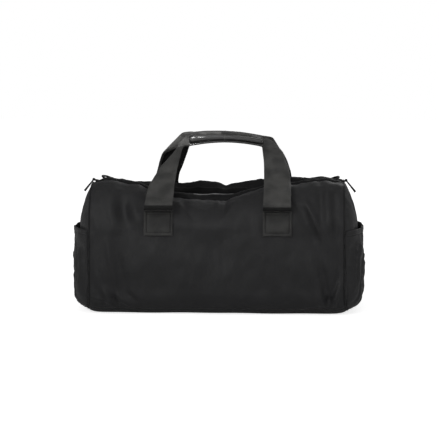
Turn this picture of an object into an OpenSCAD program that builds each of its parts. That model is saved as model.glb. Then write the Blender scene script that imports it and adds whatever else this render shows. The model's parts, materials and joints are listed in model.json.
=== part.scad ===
// Soft duffel bag with two carry handles, an unzipped top and an open pocket on each end.
// +X runs along the bag, the front faces -Y, and the base stands on z = 0.

/* [Body] */
// Length of the body between its two end seams
body_length = 448; // [430:2:460]
// Depth of the body from front to back
body_depth = 230; // [220:2:240]
// Height of the top edge at the middle of the bag, where the open top sags
middle_height = 206; // [202:1:212]
// Radius of the sagging line that the zipper follows
sag_radius = 1060; // [1000:10:1200]
// Radius of the long edges at the base
base_radius = 42; // [36:1:46]
// Radius of the long edges at the top
shoulder_radius = 65; // [60:1:68]
// Thickness of the outer nylon with its backing
fabric = 1.6; // [1.2:0.1:1.8]
// Thickness of the lining cloth
lining_cloth = 0.8; // [0.5:0.1:1]
// Thickness of the stiffener board in the base
board = 2.4; // [1.6:0.2:3]

/* [Zipper] */
// Width of the open slit between the two coils
slit = 8; // [8:0.5:9]
// Width of one coil
coil_width = 2.8; // [2.4:0.1:3]
// Width of the tape beside each coil
tape_width = 15; // [13:1:16]
// Distance of each parked slider from the middle of the bag
slider_x = 217; // [210:1:218]
// Length of the slider
slider_length = 16; // [14:0.5:16]
// Length of the pull bar from its pivot to its tip
pull_length = 22; // [18:1:23]

/* [Pockets] */
// Half width of each end pocket
pocket_half_width = 96; // [85:1:98]
// How far the pocket stands out from the end panel
pocket_bulge = 35; // [28:1:38]
// Height of the pocket's lower edge
pocket_bottom = 30; // [26:1:40]
// Height of the pocket's mouth
pocket_top = 150; // [130:1:160]

/* [Handles] */
// Width of the handle webbing
webbing_width = 50; // [40:1:52]
// Thickness of the handle webbing
webbing = 2; // [1.6:0.1:2.2]
// Distance of each webbing anchor from the middle of the bag
anchor_x = 104.5; // [100:0.5:108]
// Height of the lower edge of each anchor on the middle section
anchor_bottom = 138; // [128:1:140]
// Height of the middle of the front grip
grip_z = 303; // [290:1:306]
// How much higher the rear grip rests
rear_grip_lift = 4; // [0:0.5:5]
// Sideways lean of both handles at rest
grip_shift = 12; // [0:1:14]
// Length of each leather grip
grip_length = 126; // [110:1:130]
// Height of each leather grip
grip_height = 25; // [24:0.5:27]
// Thickness of each leather grip
grip_thickness = 12; // [10:0.5:13]

/* [Strap rings] */
// Inner width of each D-ring
ring_inner_width = 25; // [22:1:26]
// Wire radius of each D-ring
ring_wire = 1.8; // [1.5:0.1:2]
// Distance of each ring's bar from the middle of the bag
ring_x = 204; // [196:1:205]
// Distance of each ring behind the zipper
ring_y = 30; // [28:0.5:31]

/* [Hidden] */
$fn = 64;

NYLON = [0.15, 0.15, 0.16];
WEBBING = [0.28, 0.28, 0.28];
LEATHER = [0.10, 0.10, 0.10];
METAL = [0.22, 0.22, 0.23];
CLOTH = [0.08, 0.08, 0.09];
PLASTIC = [0.12, 0.12, 0.12];

gap = 0.3;
valley = 5;
half_length = body_length / 2;
wall_y = body_depth / 2;
zip_z = middle_height - valley;
axis_z = zip_z + sag_radius;
rim_y = wall_y - shoulder_radius;
shoulder_z = middle_height - shoulder_radius;
base_y = wall_y - base_radius;
end_height = middle_height + rise(half_length, middle_height);
sweep_angle = 14;
arc_facets = 720;
base_seam = -50;
lap_low = 92;
lap_high = 125;
lining_inset = fabric + 0.4;
lining_margin = 3;
end_lining_x = half_length - 2;
end_lining_inset = lining_inset + 1.2;
end_lining_drop = 4;
board_margin = 10;
board_overhang = 4;
lining_overhang = 14;
gusset_lift = 0.7;
gusset_margin = 6;

end_x = half_length + gap;
piping_width = 5;
piping_depth = 4;
pocket_x = end_x + fabric + gap;
pocket_radius = (pow(pocket_half_width, 2) + pow(pocket_bulge, 2)) / (2 * pocket_bulge);
pocket_centre_x = pocket_x + pocket_bulge - pocket_radius;
hem_height = 8;
hem_wall = 0.4;

tape = 0.8;
tape_margin = 1;
coil_height = 2.8;
coil_bevel = 0.7;
notch_room = 1;
notch_height = 14;
notch_length = 40;
pull_room = 6;
slider_angle = asin(slider_x / sag_radius);
slider_half_width = slit / 2 + coil_width + 1.7;
slider_plate = 1.5;
weld = 0.1;
cheek = 1.2;
cheek_radius = 2.2;
cheek_gap = 0.25;
cheek_foot = 6;
cheek_rise = 1;
post_gap = 0.6;
post_start = 3;
post_end = 5;
lip_side_gap = 0.4;
eye_radius = 2.6;
eye_gap = 0.08;
slider_gap = coil_height / 2 + 0.5;
lip_gap = tape / 2 + 0.5;
pin_radius = 1.2;
pin_z = slider_gap + slider_plate + 1.8;
pin_x = slider_length / 2 + 4.5;
pull_width = 4.6;
pull_thickness = 2.4;
pull_droop = 62;

anchor_low = min(anchor_bottom, shoulder_z - 1);
anchor_angle = 35;
fold_angle = 43;
fold_radius = shoulder_radius + gap + 1.5 * webbing + 0.4;
fold_y = rim_y + fold_radius * cos(fold_angle);
fold_z = shoulder_z + fold_radius * sin(fold_angle) + rise(anchor_x, shoulder_z + 40);
grip_y = grip_thickness / 2 + gap;
folded_width = webbing_width / 2 - 8;
knee_drop = 18;
knee_reach = 24;
knee_y = grip_y + 10;
knee_width = webbing_width - 8;
entry = 2;
leg_inset = 0.8;
leg_lift = 1.4;

ring_radius = ring_inner_width / 2 + ring_wire;
ring_angle = asin(ring_x / sag_radius);
ring_yaw = 18;
ring_tilt = 8;
tab_wall = 1.5;
tab_inner = ring_wire + gap;
tab_outer = tab_inner + tab_wall;
tab_width = ring_inner_width - 5;
tab_tail = 16;
ring_z = middle_height + tab_outer + gap;

// How far the sagging sweep lifts a point of the middle section at distance x along the bag.
function rise(x, z) = (axis_z - z) - sqrt(pow(axis_z - z, 2) - pow(x, 2));

// Points of an arc from one angle to another, in the section plane (depth, height).
function arc(cy, cz, r, from, to, steps) =
    [for (i = [0:steps]) let (t = from + (to - from) * i / steps) [cy + r * cos(t), cz + r * sin(t)]];

function reverse(points) = [for (i = [len(points) - 1:-1:0]) points[i]];
function opposite(points) = [for (p = reverse(points)) [-p[0], p[1]]];

// Lower part of the rear wall, from the base seam up into the straight wall.
function wall_section(inset, thick) = concat(
    arc(base_y, base_radius, base_radius - inset, base_seam, 0, 6),
    [[wall_y - inset, lap_high], [wall_y - inset - thick, lap_high]],
    arc(base_y, base_radius, base_radius - inset - thick, 0, base_seam, 6)
);

// Upper part of the rear wall with its rounded shoulder.
function shoulder_section(inset, thick, low, last_angle) = concat(
    [[wall_y - inset, low]],
    arc(rim_y, shoulder_z, shoulder_radius - inset, 0, last_angle, 9),
    arc(rim_y, shoulder_z, shoulder_radius - inset - thick, last_angle, 0, 9),
    [[wall_y - inset - thick, low]]
);

function base_half(inset) = arc(base_y, base_radius, base_radius - inset, -90, base_seam, 4);

// Closed outline of an end, inset from the outer surface.
function end_half(inset, top) = concat(
    arc(base_y, base_radius, base_radius - inset, -90, 0, 9),
    arc(rim_y, top - shoulder_radius, shoulder_radius - inset, 0, 90, 9)
);
function end_outline(inset, top) = concat(end_half(inset, top), opposite(end_half(inset, top)));

module lengthwise(x0, x1, points) {
    translate([x0, 0, 0])
        rotate([90, 0, 90])
            linear_extrude(x1 - x0)
                polygon(points);
}

// Sweeps a middle section along the sagging line.
module sagging(points) {
    translate([0, 0, axis_z])
        rotate([90, 0, 0])
            rotate([0, 0, -90 - sweep_angle])
                rotate_extrude(angle = 2 * sweep_angle, $fn = arc_facets)
                    polygon([for (p = points) [axis_z - p[1], -p[0]]]);
}

// Carries a piece from the middle of the bag along the sagging line.
module carried(angle) {
    translate([0, 0, axis_z])
        rotate([0, -angle, 0])
            translate([0, 0, -axis_z])
                children();
}

module between(x0, x1) {
    intersection() {
        children();
        translate([x0, -body_depth, -1])
            cube([x1 - x0, 2 * body_depth, 2 * middle_height]);
    }
}

module front() {
    mirror([0, 1, 0])
        children();
}

module left() {
    mirror([1, 0, 0])
        children();
}

module wall_panel(inset, thick, half) {
    between(-half, half) {
        lengthwise(-half, half, wall_section(inset, thick));
        sagging(shoulder_section(inset, thick, lap_low, 90));
    }
}

module base_sheet(inset, thick, half) {
    outer = base_half(inset);
    inner = base_half(inset + thick);
    lengthwise(-half, half, concat(opposite(outer), outer, reverse(inner), reverse(opposite(inner))));
}

// Room at the top of each end for the slider and for the pull that hangs through the slit.
module zipper_notch() {
    slider_room = slider_half_width + notch_room;
    translate([half_length - notch_length / 2, -slider_room, end_height - notch_height])
        cube([notch_length, 2 * slider_room, notch_length]);
    translate([half_length - notch_length / 2, -slit / 2, end_height - pull_length - pull_room])
        cube([notch_length, slit, pull_length + notch_length]);
}

module end_sheet(x, thick, inset, top) {
    difference() {
        lengthwise(x, x + thick, end_outline(inset, top));
        zipper_notch();
    }
}

module end_panel() {
    end_sheet(end_x, fabric, piping_width + gap, end_height);
}

// The end lining stops below the tapes and the gussets.
module end_lining() {
    end_sheet(end_lining_x, lining_cloth, end_lining_inset, end_height - end_lining_drop);
}

module end_piping() {
    difference() {
        lengthwise(end_x, end_x + piping_depth, end_outline(0, end_height));
        lengthwise(end_x - 1, end_x + piping_depth + 1, end_outline(piping_width, end_height));
        zipper_notch();
    }
}

module top_gusset() {
    low = zip_z + gusset_lift;
    inner_y = slit / 2 + coil_width + gusset_margin;
    outer_y = rim_y - gap;
    between(-half_length, half_length)
        sagging([
            [inner_y, low],
            [outer_y, middle_height - fabric],
            [outer_y, middle_height],
            [inner_y, low + fabric]
        ]);
}

module zipper_tape() {
    inner_y = slit / 2 + coil_width;
    between(tape_margin - half_length, half_length - tape_margin)
        sagging([
            [inner_y, zip_z - tape / 2],
            [inner_y + tape_width, zip_z - tape / 2],
            [inner_y + tape_width, zip_z + tape / 2],
            [inner_y, zip_z + tape / 2]
        ]);
}

module zipper_coil() {
    inner_y = slit / 2;
    outer_y = inner_y + coil_width;
    top = coil_height / 2;
    between(tape_margin - half_length, half_length - tape_margin)
        sagging([
            [inner_y, zip_z - top + coil_bevel],
            [inner_y + coil_bevel, zip_z - top],
            [outer_y, zip_z - top],
            [outer_y, zip_z + top],
            [inner_y + coil_bevel, zip_z + top],
            [inner_y, zip_z + top - coil_bevel]
        ]);
}

module block(x0, x1, y0, y1, z0, z1) {
    translate([x0, y0, z0])
        cube([x1 - x0, y1 - y0, z1 - z0]);
}

// Slider at the middle of the bag, its nose towards +X. Two plates hold the coils
// between their lips, and a post keeps the coils apart.
module slider() {
    half = slider_length / 2;
    post = slit / 2 - post_gap;
    lip = slit / 2 + coil_width + lip_side_gap;
    plate_top = slider_gap + slider_plate;
    translate([0, 0, zip_z]) {
        for (s = [-1, 1]) {
            block(-half, half, -slider_half_width, slider_half_width,
                s > 0 ? slider_gap : -plate_top, s > 0 ? plate_top : -slider_gap);
            block(-half, half, s > 0 ? lip : -slider_half_width, s > 0 ? slider_half_width : -lip,
                lip_gap, slider_gap + weld);
            block(-half, half, s > 0 ? lip : -slider_half_width, s > 0 ? slider_half_width : -lip,
                -slider_gap - weld, -lip_gap);
        }
        block(post_start - half, half - post_end, -post, post, -slider_gap - weld, slider_gap + weld);
        pull_bracket(half);
    }
}

// Two cheeks on the slider's nose with the pin that the pull swings on.
module pull_bracket(half) {
    cheek_inner = pull_width / 2 + cheek_gap;
    cheek_outer = cheek_inner + cheek;
    for (s = [-1, 1]) {
        y0 = s > 0 ? cheek_inner : -cheek_outer;
        block(half - cheek_foot, pin_x, y0, y0 + cheek, slider_gap + slider_plate - weld, pin_z + cheek_rise);
        translate([pin_x, y0 + cheek, pin_z])
            rotate([90, 0, 0])
                cylinder(h = cheek, r = cheek_radius);
    }
    translate([pin_x, cheek_outer - weld, pin_z])
        rotate([90, 0, 0])
            cylinder(h = 2 * (cheek_outer - weld), r = pin_radius);
}

// Flat pull bar with an eye round the bracket's pin, hanging outwards from the slider.
module pull() {
    straight = pull_length - pull_width / 2;
    translate([pin_x, 0, zip_z + pin_z])
        rotate([0, pull_droop, 0])
            difference() {
                union() {
                    rotate([90, 0, 0])
                        cylinder(h = pull_width, r = eye_radius, center = true);
                    block(0, straight, -pull_width / 2, pull_width / 2,
                        -pull_thickness / 2, pull_thickness / 2);
                    translate([straight, 0, -pull_thickness / 2])
                        cylinder(h = pull_thickness, r = pull_width / 2);
                }
                rotate([90, 0, 0])
                    cylinder(h = pull_width + 1, r = pin_radius + eye_gap, center = true);
            }
}

module pocket_plan(x0, inset) {
    intersection() {
        translate([pocket_centre_x, 0])
            circle(r = pocket_radius - inset, $fn = 180);
        translate([x0, -wall_y])
            square([100, body_depth]);
    }
}

// Pouch sewn to the end panel, which forms its back wall. Its mouth is open at the top.
module pocket_panel() {
    difference() {
        translate([0, 0, pocket_bottom])
            linear_extrude(pocket_top - hem_height - pocket_bottom)
                pocket_plan(pocket_x, 0);
        translate([0, 0, pocket_bottom + fabric])
            linear_extrude(pocket_top)
                pocket_plan(pocket_x - 1, fabric);
    }
}

module pocket_hem() {
    translate([0, 0, pocket_top - hem_height])
        linear_extrude(hem_height)
            difference() {
                pocket_plan(pocket_x, -hem_wall);
                pocket_plan(pocket_x - 1, fabric + hem_wall);
            }
}

// Doubled end of the handle webbing, sewn flat to the wall and up to the fold.
module anchor(x) {
    between(x - webbing_width / 2, x + webbing_width / 2)
        sagging(shoulder_section(-gap - webbing, webbing, anchor_low, anchor_angle));
}

// Flat bar of webbing lying across a leg, leaned by an angle from upright.
module web_bar(x, y, z, width, thick, lean) {
    translate([x, y, z])
        rotate([lean, 0, 0])
            cube([width, thick, 1], center = true);
}

// Rear handle webbing: two legs that rise from the folds, turn on edge and run through the grip.
module handle_webbing(lift) {
    top_z = grip_z + lift;
    knee_z = top_z - knee_drop;
    lean = atan2(fold_y - knee_y, knee_z - fold_z);
    for (s = [-1, 1]) {
        knee_x = grip_shift + s * (grip_length / 2 + knee_reach);
        entry_x = grip_shift + s * (grip_length / 2 + gap + entry / 2);
        hull() {
            web_bar(s * anchor_x, fold_y - leg_inset, fold_z + leg_lift, webbing_width, webbing, lean);
            web_bar(knee_x, knee_y, knee_z, knee_width, webbing, lean);
        }
        hull() {
            web_bar(knee_x, knee_y, knee_z, knee_width, webbing, lean);
            folded_bar(entry_x, top_z, entry);
        }
    }
    folded_bar(grip_shift, top_z, grip_length + 2 * gap + entry);
}

// Bar of folded webbing, centred, lying along the bag.
module folded_bar(x, z, length) {
    translate([x, grip_y, z])
        cube([length, 2 * webbing, folded_width], center = true);
}

// Leather sleeve wrapped round the folded webbing.
module grip(lift) {
    half = grip_height / 2 - grip_thickness / 2;
    hole_half = folded_width / 2 + gap;
    translate([grip_shift - grip_length / 2, grip_y, grip_z + lift])
        rotate([90, 0, 90])
            linear_extrude(grip_length)
                difference() {
                    union() {
                        square([grip_thickness, 2 * half], center = true);
                        for (s = [-1, 1])
                            translate([0, s * half])
                                circle(d = grip_thickness);
                    }
                    square([2 * (webbing + gap), 2 * hole_half], center = true);
                }
}

module ring_place() {
    carried(ring_angle)
        translate([0, ring_y, ring_z])
            rotate([0, 0, ring_yaw])
                children();
}

// Loop of narrow webbing that holds the ring's bar, with its tail sewn to the gusset.
module ring_tab() {
    ring_place() {
        difference() {
            union() {
                rotate([90, 0, 0])
                    cylinder(h = tab_width, r = tab_outer, center = true);
                block(-tab_tail, 0, -tab_width / 2, tab_width / 2, -tab_outer, tab_wall - tab_outer);
            }
            rotate([90, 0, 0])
                cylinder(h = tab_width + 1, r = tab_inner, center = true);
        }
    }
}

module d_ring() {
    ring_place()
        rotate([0, -ring_tilt, 0]) {
            rotate([0, 0, -90])
                rotate_extrude(angle = 180)
                    translate([ring_radius, 0])
                        circle(r = ring_wire, $fn = 32);
            rotate([90, 0, 0])
                cylinder(h = 2 * ring_radius, r = ring_wire, center = true, $fn = 32);
            for (s = [-1, 1])
                translate([0, s * ring_radius, 0])
                    sphere(r = ring_wire, $fn = 32);
        }
}

module base_board() {
    floor_z = lining_inset + gap;
    half_y = base_y + board_overhang;
    half_x = half_length - board_margin;
    block(-half_x, half_x, -half_y, half_y, floor_z, floor_z + board);
}

module base_lining() {
    floor_z = lining_inset + 2 * gap + board;
    half_y = base_y + lining_overhang;
    half_x = half_length - lining_margin - 1;
    block(-half_x, half_x, -half_y, half_y, floor_z, floor_z + lining_cloth);
}

module rear_panel() { color(NYLON) wall_panel(0, fabric, half_length); }
module front_panel() { color(NYLON) front() wall_panel(0, fabric, half_length); }
module base_panel() { color(NYLON) base_sheet(0, fabric, half_length); }
module right_end_panel() { color(NYLON) end_panel(); }
module left_end_panel() { color(NYLON) left() end_panel(); }
module rear_top_gusset() { color(NYLON) top_gusset(); }
module front_top_gusset() { color(NYLON) front() top_gusset(); }
module rear_zipper_tape() { color(CLOTH) zipper_tape(); }
module front_zipper_tape() { color(CLOTH) front() zipper_tape(); }
module rear_zipper_coil() { color(PLASTIC) zipper_coil(); }
module front_zipper_coil() { color(PLASTIC) front() zipper_coil(); }
module right_zipper_slider() { color(METAL) carried(slider_angle) slider(); }
module left_zipper_slider() { color(METAL) left() carried(slider_angle) slider(); }
module right_zipper_pull() { color(METAL) carried(slider_angle) pull(); }
module left_zipper_pull() { color(METAL) left() carried(slider_angle) pull(); }
module right_end_piping() { color(NYLON) end_piping(); }
module left_end_piping() { color(NYLON) left() end_piping(); }
module right_pocket_panel() { color(NYLON) pocket_panel(); }
module left_pocket_panel() { color(NYLON) left() pocket_panel(); }
module right_pocket_hem() { color(NYLON) pocket_hem(); }
module left_pocket_hem() { color(NYLON) left() pocket_hem(); }
module rear_right_anchor() { color(WEBBING) anchor(anchor_x); }
module rear_left_anchor() { color(WEBBING) anchor(-anchor_x); }
module front_right_anchor() { color(WEBBING) front() anchor(anchor_x); }
module front_left_anchor() { color(WEBBING) front() anchor(-anchor_x); }
module rear_handle_webbing() { color(WEBBING) handle_webbing(rear_grip_lift); }
module front_handle_webbing() { color(WEBBING) front() handle_webbing(0); }
module rear_grip() { color(LEATHER) grip(rear_grip_lift); }
module front_grip() { color(LEATHER) front() grip(0); }
module right_ring_tab() { color(WEBBING) ring_tab(); }
module left_ring_tab() { color(WEBBING) left() ring_tab(); }
module right_d_ring() { color(METAL) d_ring(); }
module left_d_ring() { color(METAL) left() d_ring(); }
module rear_lining() { color(CLOTH) wall_panel(lining_inset, lining_cloth, half_length - lining_margin); }
module front_lining() { color(CLOTH) front() rear_lining(); }
module right_end_lining() { color(CLOTH) end_lining(); }
module left_end_lining() { color(CLOTH) left() end_lining(); }

front_panel();
rear_panel();
base_panel();
left_end_panel();
right_end_panel();
front_top_gusset();
rear_top_gusset();
front_zipper_tape();
rear_zipper_tape();
front_zipper_coil();
rear_zipper_coil();
left_zipper_slider();
right_zipper_slider();
left_zipper_pull();
right_zipper_pull();
left_end_piping();
right_end_piping();
left_pocket_panel();
right_pocket_panel();
left_pocket_hem();
right_pocket_hem();
front_left_anchor();
front_right_anchor();
rear_left_anchor();
rear_right_anchor();
front_handle_webbing();
rear_handle_webbing();
front_grip();
rear_grip();
left_ring_tab();
right_ring_tab();
left_d_ring();
right_d_ring();
base_board();
front_lining();
rear_lining();
base_lining();
left_end_lining();
right_end_lining();
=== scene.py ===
import json
import math
import bmesh
import bpy
import numpy as np
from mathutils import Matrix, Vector, noise
from mathutils.bvhtree import BVHTree


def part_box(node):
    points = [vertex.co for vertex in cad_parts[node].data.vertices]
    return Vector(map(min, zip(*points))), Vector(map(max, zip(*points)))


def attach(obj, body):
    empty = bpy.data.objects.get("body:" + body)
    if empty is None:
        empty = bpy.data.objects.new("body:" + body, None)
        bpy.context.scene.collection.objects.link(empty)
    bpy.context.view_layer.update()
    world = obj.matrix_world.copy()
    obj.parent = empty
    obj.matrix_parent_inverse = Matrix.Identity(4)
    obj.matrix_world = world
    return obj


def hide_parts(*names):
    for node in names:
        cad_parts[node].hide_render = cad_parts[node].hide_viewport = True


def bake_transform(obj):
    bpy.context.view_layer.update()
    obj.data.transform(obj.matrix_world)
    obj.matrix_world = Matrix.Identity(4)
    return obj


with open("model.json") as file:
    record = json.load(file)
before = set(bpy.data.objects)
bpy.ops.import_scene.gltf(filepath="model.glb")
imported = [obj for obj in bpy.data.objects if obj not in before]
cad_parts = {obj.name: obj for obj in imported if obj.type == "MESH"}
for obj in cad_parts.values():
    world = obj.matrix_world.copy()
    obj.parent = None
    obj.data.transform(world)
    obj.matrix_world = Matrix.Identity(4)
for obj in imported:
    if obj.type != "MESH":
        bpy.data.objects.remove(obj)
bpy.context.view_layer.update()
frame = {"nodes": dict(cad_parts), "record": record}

MM = 0.001
RECORD = frame["record"]
SIDE_NAME = {-1: "front", 1: "rear"}
HAND_NAME = {-1: "left", 1: "right"}


# ---------------------------------------------------------------- camera

CAMERA_AZIMUTH = 3.0
CAMERA_ELEVATION = 6.0
CAMERA_DISTANCE = 3.2
FRAME_WIDTH = 0.795
CAMERA_TARGET = Vector((0.0, 0.0, 0.159))


def make_camera():
    azimuth, elevation = math.radians(CAMERA_AZIMUTH), math.radians(CAMERA_ELEVATION)
    back = Vector((
        math.sin(azimuth) * math.cos(elevation),
        -math.cos(azimuth) * math.cos(elevation),
        math.sin(elevation),
    ))
    data = bpy.data.cameras.new("camera")
    data.sensor_width = 36
    data.lens = data.sensor_width * CAMERA_DISTANCE / FRAME_WIDTH
    camera = bpy.data.objects.new("camera", data)
    bpy.context.scene.collection.objects.link(camera)
    camera.location = CAMERA_TARGET + back * CAMERA_DISTANCE
    camera.rotation_euler = (-back).to_track_quat("-Z", "Y").to_euler()
    bpy.context.scene.camera = camera


make_camera()


# ---------------------------------------------------------------- driving sizes, from the frame

def joint(name):
    return next(j for j in RECORD["behaviour"]["joints"] if j["name"] == name)


PANEL_LOW, PANEL_HIGH = (np.array(v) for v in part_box("front_panel"))
HALF_LENGTH = PANEL_HIGH[0]
WALL_Y = -PANEL_LOW[1]
RIM_Y = -PANEL_HIGH[1]
COIL_LOW, COIL_HIGH = (np.array(v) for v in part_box("rear_zipper_coil"))
SLIT_Y, COIL_Y = COIL_LOW[1], COIL_HIGH[1]
AXIS_Z = joint("left_slider_travel")["pos_m"][2]
ZIP_Z = COIL_LOW[2] + 1.4 * MM
SAG_RADIUS = AXIS_Z - ZIP_Z
BASE_RADIUS = 42 * MM
SHOULDER_Z = 150 * MM
TAPE_EDGE_Y = COIL_Y + 14.4 * MM


def zip_height(x):
    return AXIS_Z - np.sqrt(SAG_RADIUS ** 2 - x ** 2)


def smooth_curve(knots, x):
    """A smooth curve through (place, value) knots."""
    place, value = np.array(knots, float).T
    slope = np.gradient(value, place)
    i = np.clip(np.searchsorted(place, x) - 1, 0, len(place) - 2)
    span = place[i + 1] - place[i]
    t = np.clip((x - place[i]) / span, 0, 1)
    return ((2 * t**3 - 3 * t**2 + 1) * value[i] + (t**3 - 2 * t**2 + t) * span * slope[i]
            + (3 * t**2 - 2 * t**3) * value[i + 1] + (t**3 - t**2) * span * slope[i + 1])


def smoothstep(low, high, x):
    t = np.clip((x - low) / (high - low), 0, 1)
    return t * t * (3 - 2 * t)


# ---------------------------------------------------------------- mesh helpers

def make_mesh(name, points, faces, cloth=None):
    """A mesh object from points and faces. cloth holds each point's place on the flat cloth, in metres."""
    mesh = bpy.data.meshes.new(name)
    mesh.from_pydata([tuple(p) for p in points], [], [tuple(int(i) for i in f) for f in faces])
    mesh.update()
    mesh.polygons.foreach_set("use_smooth", np.ones(len(mesh.polygons), bool))
    if cloth is None:
        cloth = np.array(points)
    flat = np.zeros((len(points), 3))
    flat[:, : cloth.shape[1]] = cloth
    layer = mesh.attributes.new("cloth", "FLOAT_VECTOR", "POINT")
    layer.data.foreach_set("vector", flat.astype(np.float32).ravel())
    piece = bpy.data.objects.new(name, mesh)
    bpy.context.scene.collection.objects.link(piece)
    return piece


def grid_faces(rows, columns, closed=False, flip=False):
    """Quads of a grid of rows by columns. closed joins the last column to the first."""
    i, j = np.meshgrid(np.arange(rows - 1), np.arange(columns if closed else columns - 1), indexing="ij")
    k = (j + 1) % columns
    quads = np.stack([i * columns + j, i * columns + k, (i + 1) * columns + k, (i + 1) * columns + j], -1)
    quads = quads.reshape(-1, 4)
    return quads[:, ::-1] if flip else quads


def make_sheet(name, grid, cloth, flip=False):
    """A mesh object from a grid of points, one per row and column."""
    return make_mesh(name, grid.reshape(-1, 3), grid_faces(*grid.shape[:2], flip=flip), cloth)


def grid_normals(grid):
    """Unit normals of a grid of points, from the differences along its rows and columns."""
    along = np.gradient(grid, axis=1)
    down = np.gradient(grid, axis=0)
    normal = np.cross(along, down)
    return normal / np.maximum(np.linalg.norm(normal, axis=2, keepdims=True), 1e-12)


def arc_lengths(points):
    steps = np.linalg.norm(np.diff(points, axis=0), axis=-1)
    return np.concatenate([np.zeros((1,) + steps.shape[1:]), np.cumsum(steps, axis=0)])


def signed_power(value, power):
    return np.sign(value) * np.abs(value) ** power


def line_distance(x, z, start, end, low=0.0, high=1.0):
    """Distance of a place from the line between two places, and its share of the way along it."""
    run, climb = end[0] - start[0], end[1] - start[1]
    t = np.clip(((x - start[0]) * run + (z - start[1]) * climb) / (run * run + climb * climb), low, high)
    return np.hypot(x - start[0] - run * t, z - start[1] - climb * t), t


def finish_piece(piece, body, material, replaces=(), subdivide=0, thickness=0, offset=-1):
    if thickness:
        solid = piece.modifiers.new("thickness", "SOLIDIFY")
        solid.thickness, solid.offset = thickness, offset
    if subdivide:
        smooth = piece.modifiers.new("smooth", "SUBSURF")
        smooth.levels = smooth.render_levels = subdivide
    piece.data.materials.append(material)
    if body:
        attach(piece, body)
    if replaces:
        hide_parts(*replaces)
    return piece


def tube(name, path, radius, sides, closed=False):
    """A round tube along a path of points."""
    path = np.array(path)
    tangent = np.gradient(path, axis=0)
    if closed:
        tangent = np.roll(path, -1, axis=0) - np.roll(path, 1, axis=0)
    tangent /= np.linalg.norm(tangent, axis=1, keepdims=True)
    reference = np.array([0.0, 0.0, 1.0])
    if abs(tangent[:, 2]).mean() > 0.7:
        reference = np.array([0.0, 1.0, 0.0])
    if closed:
        reference = np.array([1.0, 0.0, 0.0])
    side = np.cross(tangent, reference)
    side /= np.linalg.norm(side, axis=1, keepdims=True)
    up = np.cross(side, tangent)
    radii = np.broadcast_to(np.asarray(radius, float), (len(path),))
    angles = np.arange(sides) * 2 * math.pi / sides
    ring = side[:, None] * np.cos(angles)[None, :, None] + up[:, None] * np.sin(angles)[None, :, None]
    points = path[:, None] + ring * radii[:, None, None]
    rows = len(path)
    faces = list(grid_faces(rows, sides, closed=True))
    if closed:
        last = (rows - 1) * sides
        faces += [(last + j, last + (j + 1) % sides, (j + 1) % sides, j) for j in range(sides)]
    else:
        faces += [tuple(range(sides))[::-1], tuple((rows - 1) * sides + j for j in range(sides))]
    length = arc_lengths(path)
    cloth = np.stack([np.repeat(length, sides), np.tile(angles * radii.mean(), rows)], -1)
    return make_mesh(name, points.reshape(-1, 3), faces, cloth)


# A stitch's rings: place along it as a share of its length, then width and height as shares of its radius.
STITCH_RINGS = [(-0.5, 0.25, -1.1), (-0.38, 0.9, 0.1), (0.0, 1.0, 0.5), (0.38, 0.9, 0.1), (0.5, 0.25, -1.1)]


def stitch_mesh(name, lines, length, pitch, radius, sides=6):
    """Rows of short thread stitches. Each line is (points, normals)."""
    points, faces = [], []
    angles = np.arange(sides) * 2 * math.pi / sides
    for line, normals in lines:
        line, normals = np.array(line), np.array(normals)
        travelled = arc_lengths(line)
        count = max(1, int(travelled[-1] / pitch))
        centres = (np.arange(count) + 0.5) * travelled[-1] / count

        def along_line(where, values):
            return np.stack([np.interp(where, travelled, values[:, k]) for k in range(3)], -1)

        place, up = along_line(centres, line), along_line(centres, normals)
        along = along_line(centres + 0.1 * MM, line) - along_line(centres - 0.1 * MM, line)
        along /= np.linalg.norm(along, axis=1, keepdims=True)
        up /= np.linalg.norm(up, axis=1, keepdims=True)
        side = np.cross(along, up)
        for centre, forward, lift, across in zip(place, along, up, side):
            start = len(points)
            for step, width, height in STITCH_RINGS:
                for angle in angles:
                    raised = lift * radius * (height + width * math.sin(angle))
                    sideways = across * radius * width * math.cos(angle)
                    points.append(centre + forward * step * length + raised + sideways)
            rows = len(STITCH_RINGS)
            faces += [tuple(start + q for q in quad) for quad in grid_faces(rows, sides, closed=True)]
            faces.append(tuple(start + j for j in range(sides))[::-1])
            faces.append(tuple(start + (rows - 1) * sides + j for j in range(sides)))
    return make_mesh(name, points, faces)


# ---------------------------------------------------------------- materials

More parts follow.
